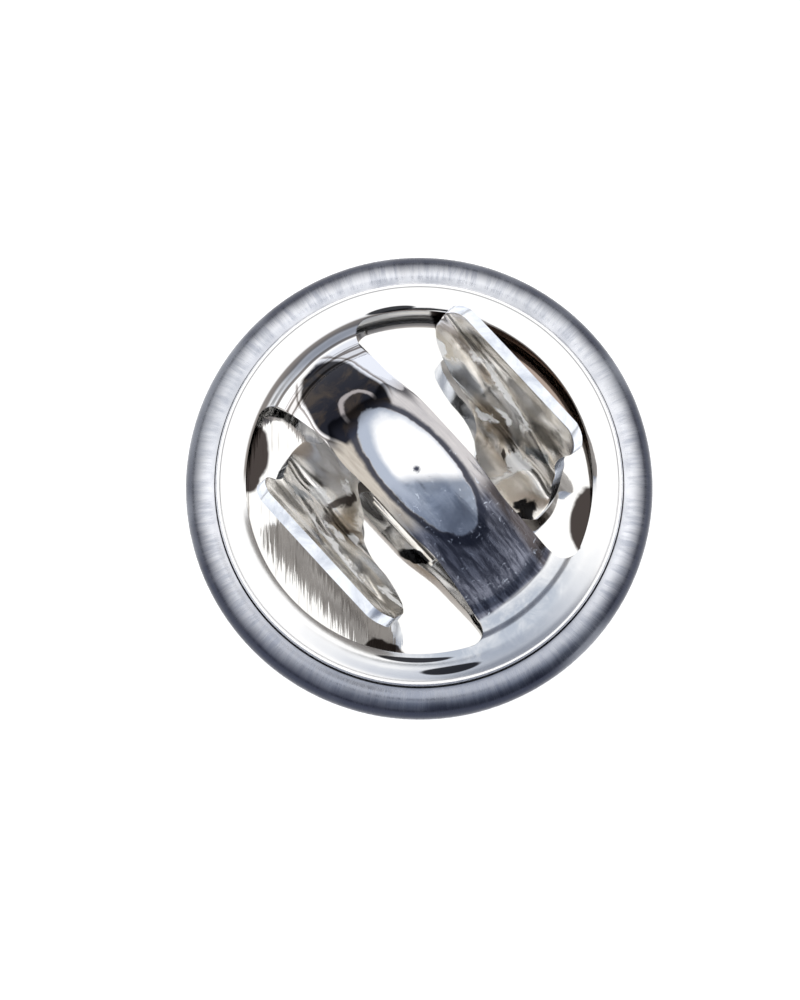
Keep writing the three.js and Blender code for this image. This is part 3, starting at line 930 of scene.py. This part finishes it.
def ring_color(g, x, y, far, cloud, wander):
    """Ring, in painted reflections: brown contour lines round the -X ledge, grey-blue at +X, and black
    marks.
    """
    bowed = g.plus(far, g.times(wander, 0.10))
    at_ledge = g.times(g.step(far, 4.34, 4.28), g.step(x, -2.6, -3.1))
    step_line = g.times(g.step(bowed, 4.14, 4.2), at_ledge)
    foot_line = g.times(g.step(bowed, 3.94, 3.97), g.step(bowed, 4.04, 4.0))
    brown = g.times(g.math("MAXIMUM", step_line, foot_line), at_ledge)
    color = g.blend(g.times(brown, 0.85), RING_WHITE, RING_BROWN_REFLECTION)
    # painted grey-blue reflection at +X
    ring_reflection = g.times(sector(g, x, y, -14, 34, 4.15, 0.55, 0.45), g.step(cloud, 0.25, 0.6, 0.55, 0.95))
    color = g.blend(ring_reflection, color, RING_GREY_REFLECTION)
    # painted dark reflection line at the +X end
    end_line = sector(g, x, y, 5, 16, 3.62, 0.06, 0.4)
    color = g.blend(g.times(end_line, 0.6), color, RING_LINE_REFLECTION)
    for where in RING_BLACK_REFLECTION_SPOTS:
        color = g.blend(g.times(sector(g, x, y, *where, 0.12), 0.97), color, RING_BLACK_REFLECTION)
    return color


def cap_metal():
    """Bright ring with painted reflections; the bridge has a painted highlight on its crown, is tarnished,
    smeared and rougher past its crest under a painted blue-grey reflection, and is streaked with painted
    dark reflections down its +X end.
    """
    mat, g, shader, place = new_metal("bright_nickel")
    x, y = g.split(place)[:2]
    far = g.length(x, y)
    cloud = g.noise(place, 1.6, 5, 0.62, 0.6)
    fleck = g.noise(place, 5.0, 4, 0.7, 0.8)
    streak = g.noise(g.vector("MULTIPLY", place, (0.9, 6.0, 0.9)), 1.5, 3, 0.6, 0.3)
    wander = g.minus(g.noise(place, 0.75, 1, 0.4), 0.5)
    ripple = g.minus(g.noise(place, 2.2, 3, 0.6), 0.5)
    on_bridge = g.times(g.step(far, 4.02, 3.9), g.step(g.math("ABSOLUTE", y), 1.6, 1.4))
    dull_end = g.times(on_bridge, g.step(x, -0.1, 0.35))
    # past the crest: a rougher, smeared surface, with a painted blue-grey reflection on it
    tarnish_and_reflection = g.times(g.step(g.minus(x, g.times(y, 0.8)), 0.1, 0.55), g.step(cloud, 0.2, 0.5, 0.8, 1.0))

    strap = strap_color(g, x, y, cloud, streak)
    strap = black_reflection_zone(g, x, y, cloud, wander, ripple, strap)
    strap = crown_color(g, x, y, cloud, ripple, tarnish_and_reflection, strap)
    # painted dark reflection: a small spot on the crown's top
    dot = g.vector("DISTANCE", place, (-0.02, -0.08, BRIDGE_TOP + CLUTCH_Z), out="Value")
    crest_reflection = g.plus(dot, g.times(fleck, 0.2))
    strap = g.blend(g.step(crest_reflection, 0.22, 0.13), strap, CREST_DARK_REFLECTION)
    # painted glints: light flecks on the +X end
    glint = g.times(g.step(fleck, 0.60, 0.70), g.times(dull_end, 0.7))
    strap = g.blend(glint, strap, PAINTED_GLINT)

    ring = ring_color(g, x, y, far, cloud, wander)
    foot = g.plus(g.math("ABSOLUTE", g.minus(x, BRIDGE_SHIFT)), g.times(wander, 0.35))
    foot = g.plus(foot, g.times(g.times(y, y), 0.10))
    color = g.blend(g.times(on_bridge, g.step(foot, 3.80, 3.70)), ring, strap)
    g.feed(shader.inputs["Base Color"], color)
    rough = g.plus(0.05, g.times(tarnish_and_reflection, 0.16))
    g.feed(shader.inputs["Roughness"], g.plus(rough, g.step(fleck, 0.55, 0.8, 0, 0.06)))
    waves = g.bump(g.noise(place, 0.9, 2, 0.5), 0.012)
    marks = g.times(g.plus(g.times(fleck, 0.5), streak), g.plus(0.06, dull_end))
    g.feed(shader.inputs["Normal"], g.bump(marks, 0.006, waves))
    return mat


def paint_wing_reflections(g, shader, x, y, z, cloud, color):
    """Paints light on the inner faces: painted reflections, dark and grey, and painted pale highlights on
    the wing, a painted black reflection on the neck.
    """
    rag = g.minus(cloud, 0.5)
    u = g.plus(g.times(x, g.math("SIGN", y)), g.times(rag, 1.1))
    v = g.plus(g.minus(z, CLUTCH_Z), g.times(rag, 1.3))
    on_wing = g.step(v, NECK_LEVEL + 0.1, NECK_LEVEL + 0.35)
    for centre_u, centre_v, half_u, half_v, lean, tone in WING_REFLECTIONS:
        mark = g.times(spot(g, u, v, centre_u, centre_v, half_u, half_v, 0.35, lean), on_wing)
        color = g.blend(g.times(mark, 0.92), color, tone)
    # painted highlights: pale streaks, made partly non-metal so they catch more light
    wear_and_highlight = 0.0
    for centre_u, centre_v, half_u, half_v, lean in WING_HIGHLIGHTS:
        mark = g.times(spot(g, u, v, centre_u, centre_v, half_u, half_v, 0.30, lean), on_wing)
        wear_and_highlight = g.math("MAXIMUM", wear_and_highlight, mark)
    color = g.blend(wear_and_highlight, color, WING_HIGHLIGHT_WHITE)
    g.feed(shader.inputs["Metallic"], g.rest(g.times(wear_and_highlight, 0.75)))
    # painted black reflection on the neck
    neck_reflection = g.times(spot(g, u, g.plus(y, g.times(rag, 0.5)), *NECK_BLACK_REFLECTION), g.step(y, 0.9, 1.0))
    return g.blend(g.times(neck_reflection, 0.98), color, BLACK_REFLECTION)


def spring_metal(name, light, dark, rough, with_painted_light=False):
    """Spring strip: warm nickel over a slightly crumpled surface, with rolling lines and specks."""
    mat, g, shader, place = new_metal(name)
    cloud = g.noise(place, 1.3, 4, 0.6, 0.5)
    speck = g.noise(place, 9.0, 3, 0.7, 0.4)
    lines = g.noise(g.vector("MULTIPLY", place, (1.2, 4.0, 4.0)), 1.2, 3, 0.6, 0.3)
    color = g.blend(g.step(cloud, 0.40, 0.75), light, dark)
    color = g.blend(g.step(speck, 0.68, 0.80, 0, 0.4), color, tuple(c * 0.4 for c in dark))
    # painted reflections and highlights of the wing's inner face
    if with_painted_light:
        color = paint_wing_reflections(g, shader, *g.split(place), cloud, color)
    g.feed(shader.inputs["Base Color"], color)
    g.feed(shader.inputs["Roughness"], g.step(cloud, 0.3, 0.7, rough, rough + 0.12))
    dents = g.bump(g.noise(place, 0.8, 1, 0.4), 0.02)
    g.feed(shader.inputs["Normal"], g.bump(g.plus(lines, g.times(speck, 0.5)), 0.0015, dents))
    return mat


def head_metal():
    """Polished head with faint round buffing marks."""
    mat, g, shader, place = new_metal("polished_head")
    x, y, z = g.split(place)
    rings = g.noise(g.join(g.times(g.length(x, y), 14), g.times(z, 14), 0), 1, 3, 0.6)
    cloud = g.noise(place, 0.5, 4, 0.6)
    color = g.blend(g.step(cloud, 0.35, 0.7), *HEAD_TONES)
    g.feed(shader.inputs["Base Color"], color)
    g.feed(shader.inputs["Roughness"], g.step(cloud, 0.3, 0.7, 0.07, 0.15))
    g.feed(shader.inputs["Normal"], g.bump(rings, 0.003))
    return mat


def plain_metal(name, tone):
    """Stamped sheet where it is hardly seen: an even tone with faint clouds and rolling lines."""
    mat, g, shader, place = new_metal(name)
    cloud = g.noise(place, 0.9, 3, 0.5)
    rolled = g.noise(g.vector("MULTIPLY", place, (0.6, 5.0, 0.6)), 1.5, 2, 0.5)
    g.feed(shader.inputs["Base Color"], g.blend(cloud, tone, tuple(c * 0.8 for c in tone)))
    g.feed(shader.inputs["Roughness"], g.step(cloud, 0.3, 0.7, 0.12, 0.18))
    g.feed(shader.inputs["Normal"], g.bump(rolled, 0.0008))
    return mat


def post_metal(name, tone, lines_along_z):
    """Drawn pin or stamped pad: grey steel with fine lines and dull patches."""
    mat, g, shader, place = new_metal(name)
    stretch = (8.0, 8.0, 0.8) if lines_along_z else (3.0, 3.0, 3.0)
    lines = g.noise(g.vector("MULTIPLY", place, stretch), 2.0, 3, 0.6)
    cloud = g.noise(place, 1.2, 4, 0.6)
    light = tuple(min(c * 1.15, 1.0) for c in tone)
    g.feed(shader.inputs["Base Color"], g.blend(g.step(cloud, 0.35, 0.65), tone, light))
    g.feed(shader.inputs["Roughness"], g.step(lines, 0.3, 0.7, 0.20, 0.36))
    g.feed(shader.inputs["Normal"], g.bump(lines, 0.006))
    return mat


# Painted reflections on the wing's inner face: place along X, height, half sizes, lean, and colour
WING_REFLECTIONS = (
    (-1.27, 2.5, 0.9, 0.42, 0.0, (0.52, 0.55, 0.60)), (0.25, 2.2, 0.62, 0.42, -0.2, (0.30, 0.24, 0.17)),
    (-1.40, 3.9, 0.40, 0.40, 0.3, (0.30, 0.27, 0.23)), (1.55, 3.60, 0.52, 0.40, 0.3, (0.10, 0.09, 0.075)),
    (0.95, 1.85, 0.13, 0.12, 0.0, (0.05, 0.035, 0.03)), (1.65, 2.75, 0.30, 0.22, 0.2, (0.34, 0.37, 0.40)),
)
# Painted highlights on the same face: place along X, height, half sizes and lean
WING_HIGHLIGHTS = (
    (-0.05, 3.36, 1.15, 0.17, -0.26), (-1.9, 3.05, 0.5, 0.16, -0.1), (0.33, 2.62, 0.26, 0.17, -0.2),
    (-0.07, 2.10, 0.22, 0.12, -0.2), (1.33, 2.00, 0.26, 0.26, 0.0),
)
# Painted black reflections on the ring: turn and half turn in degrees, radius and half width
RING_BLACK_REFLECTION_SPOTS = ((147, 8, 4.34, 0.06), (-44, 12, 4.41, 0.06), (-33, 9, 4.70, 0.09))
# Painted black reflection on the cup's floor beside the bridge: place, half sizes, softness and lean
FLOOR_BLACK_REFLECTION = (1.15, -1.20, 0.34, 0.22, 0.12, 0.55)
# Painted black reflection on the arm's neck: place, half sizes and softness
NECK_BLACK_REFLECTION = (2.32, 1.34, 0.21, 0.42, 0.16)
# Middle of the painted black reflection on the bridge's -X climb
ZONE_MIDDLE = (-2.42, -0.10)


# ---- assembly

def add(piece, material, body, node):
    """Gives a piece its material, and says which body it rides; hides the CAD node it stands for."""
    piece.data.materials.append(material)
    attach(piece, body)
    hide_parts(node)
    return piece


spring_face = spring_metal("spring_face", (0.97, 0.95, 0.92), (0.76, 0.71, 0.63), 0.12, with_painted_light=True)
# the back is a dark copy of the face's metal: painted shade
spring_back_shaded = spring_metal("spring_back_shaded", (0.24, 0.225, 0.215), (0.13, 0.12, 0.115), 0.22)
# the cut edge is a blue-white copy of the same metal: a painted reflection
spring_edge_reflection = spring_metal("spring_edge_reflection", (0.80, 0.83, 0.88), (0.50, 0.54, 0.62), 0.16)
add(make_base(), base_metal(), "clutch", "clutch_base")
cap = add(make_cap(), cap_metal(), "clutch", "clutch_cap")
cap.data.materials.append(plain_metal("cap_underside", (0.88, 0.87, 0.86)))
# the cut edge's dark brown is a painted dark reflection
cap.data.materials.append(plain_metal("cut_edge_dark_reflection", (0.32, 0.28, 0.25)))
thicken(cap, CAP_SHEET, side=-1, edge=CUT_EDGE, own_back=True)
add(make_plate(), spring_face, "clutch", "spring_plate")
for name, turned, body, node in (
    ("wing_plus_y_fine", False, "wing_plus_y", "wing_arm_plus_y"),
    ("wing_minus_y_fine", True, "wing_minus_y", "wing_arm_minus_y"),
):
    arm = add(make_arm(name, turned), spring_face, body, node)
    arm.data.materials.append(spring_back_shaded)
    arm.data.materials.append(spring_edge_reflection)
add(make_head(), head_metal(), "tack", "tack_head")
pad_steel = post_metal("pad_steel", (0.58, 0.58, 0.585), lines_along_z=False)
pin_steel = post_metal("pin_steel", (0.64, 0.64, 0.645), lines_along_z=True)
add(make_pad(), pad_steel, "tack", "post_pad")
add(make_post(), pin_steel, "tack", "tack_post")


# ---- stage, light and camera

def make_floor():
    """White paper under the part, as in the photo."""
    half = 0.6
    corners = [(-half, -half, 0), (half, -half, 0), (half, half, 0), (-half, half, 0)]
    mesh = bpy.data.meshes.new("floor")
    mesh.from_pydata(corners, [], [(0, 1, 2, 3)])
    floor = bpy.data.objects.new("floor", mesh)
    bpy.context.scene.collection.objects.link(floor)
    mat = bpy.data.materials.new("pale_floor")
    mat.use_nodes = True
    g = Graph(mat.node_tree)
    shader = g.nodes["Principled BSDF"]
    coords = g.nodes.new("ShaderNodeTexCoord")
    fibre = g.noise(coords.outputs["Object"], 900, 3, 0.6)
    g.feed(shader.inputs["Base Color"], g.blend(fibre, *PAPER_TONES))
    shader.inputs["Emission Color"].default_value = (1, 1, 1, 1)
    shader.inputs["Emission Strength"].default_value = 0.35
    shader.inputs["Roughness"].default_value = 0.8
    mesh.materials.append(mat)


def make_light():
    """A soft white dome over a dim grey belt and a pale horizon, with patches that the metal mirrors."""
    world = bpy.data.worlds.new("studio")
    bpy.context.scene.world = world
    world.use_nodes = True
    g = Graph(world.node_tree)
    back = g.nodes["Background"]
    coords = g.nodes.new("ShaderNodeTexCoord")
    aim = g.vector("NORMALIZE", coords.outputs["Generated"])
    height = g.split(aim)[2]
    right = g.dot(aim, SCREEN_RIGHT)
    up = g.dot(aim, SCREEN_UP)
    spread_out = g.plus(height, 1.0001)
    p = g.over(right, spread_out)
    q = g.over(up, spread_out)

    def patch(angle_right, angle_up, half_right, half_up, soft):
        """1 inside an ellipse of the sky, 0 outside; all in degrees from straight up."""
        centre_p = math.tan(math.radians(angle_right) / 2)
        centre_q = math.tan(math.radians(angle_up) / 2)
        along = g.over(g.minus(p, centre_p), math.tan(math.radians(half_right) / 2))
        across = g.over(g.minus(q, centre_q), math.tan(math.radians(half_up) / 2))
        return g.step(g.length(along, across), 1 + soft, 1 - soft)

    dome = g.step(height, 0.12, 0.40)
    color = g.blend(dome, SKY_BELT, (1.0, 1.0, 1.0))
    color = g.blend(g.step(height, 0.15, 0.11), color, SKY_HORIZON)
    for share, shade, where in SKY_PATCHES:
        color = g.blend(g.times(patch(*where), share), color, shade)
    g.links.new(color, back.inputs["Color"])
    back.inputs["Strength"].default_value = 1.3


# Colours of the sky
SKY_BELT = (0.14, 0.142, 0.155)
SKY_HORIZON = (0.88, 0.88, 0.89)
# Its patches: strength, colour, and (right, up, half width, half height, softness), in degrees
SKY_PATCHES = (
    (0.85, (0.42, 0.46, 0.54), (16, -42, 38, 36, 0.45)),
    (0.90, (0.20, 0.22, 0.27), (46, -60, 40, 40, 0.35)),
    (1.0, (1.0, 1.0, 1.0), (-2, -21, 8, 4.2, 0.2)),
    (1.0, (0.004, 0.004, 0.006), (-1.5, -8.5, 5.5, 3.8, 0.2)),
)


def make_camera():
    """Looks down at the clutch from the photograph's angle, with the clutch a little off the middle."""
    distance = 0.15
    picture_height = 1000
    scale = 40.6 / MM  # image points per metre at the rim
    right_shift = 19.2 / scale
    up_shift = 12.5 / scale
    data = bpy.data.cameras.new("camera")
    cam = bpy.data.objects.new("camera", data)
    bpy.context.scene.collection.objects.link(cam)
    bpy.context.scene.camera = cam
    back = Vector((
        math.sin(VIEW_AZIMUTH) * math.cos(VIEW_ELEVATION),
        -math.cos(VIEW_AZIMUTH) * math.cos(VIEW_ELEVATION),
        math.sin(VIEW_ELEVATION),
    ))
    right = Vector(SCREEN_RIGHT)
    up = back.cross(right)
    rim = Vector((0, 0, (CLUTCH_Z + RIM_HEIGHT / 2) * MM))
    aim = rim - right * right_shift - up * up_shift
    turn = Matrix((right, up, back)).transposed()
    cam.matrix_world = Matrix.Translation(aim + back * distance) @ turn.to_4x4()
    data.sensor_width = 36
    data.lens = scale * distance * data.sensor_width / picture_height
    data.clip_start = 0.01
    data.clip_end = 5


make_floor()
make_light()
make_camera()
bpy.context.scene.view_settings.view_transform = "Standard"
